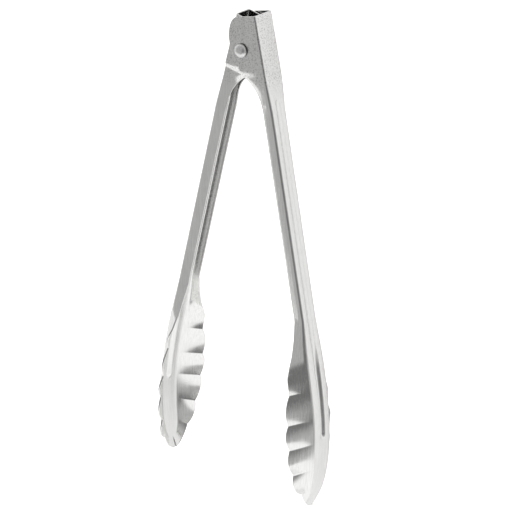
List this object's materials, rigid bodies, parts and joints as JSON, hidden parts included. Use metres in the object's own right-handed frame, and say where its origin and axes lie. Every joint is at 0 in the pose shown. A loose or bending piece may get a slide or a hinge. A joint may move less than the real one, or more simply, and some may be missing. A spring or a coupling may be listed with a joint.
{
  "type": "spring loaded kitchen tongs",
  "caption": "Pressed steel kitchen tongs with channel handles, scalloped scoop tips and a riveted hinge sprung open.",
  "frame": {"origin": "middle of the tongs' bounding box, on the surface they lie on", "axes": "+Z along the hinge axis, up as the tongs lie on their side, towards the rivet's domed head; +Y along the tongs from the tips to the hinge; +X to the right arm's side"},
  "size_m": [0.1224, 0.3055, 0.0455],
  "materials": {
    "pressed_steel": "polished stainless steel sheet with fine grain and light scratches",
    "rivet_steel": "polished stainless steel rivet",
    "spring_wire": "drawn stainless spring wire, satin"
  },
  "bodies": {
    "right_side": {"right_arm": "pressed_steel", "hinge_rivet": "rivet_steel", "torsion_spring": "spring_wire"},
    "left_side": {"left_arm": "pressed_steel"}
  },
  "joints": [
    {"name": "tong_hinge", "type": "hinge", "parent": "right_side", "child": "left_side", "pos_m": [-0.0011, 0.13112, 0.02274], "axis": [0, 0, 1], "range_deg": [0, 21.2], "stiffness_Nm_per_rad": 0.9, "springref_deg": -14.32, "deforming": ["torsion_spring"]}
  ]
}
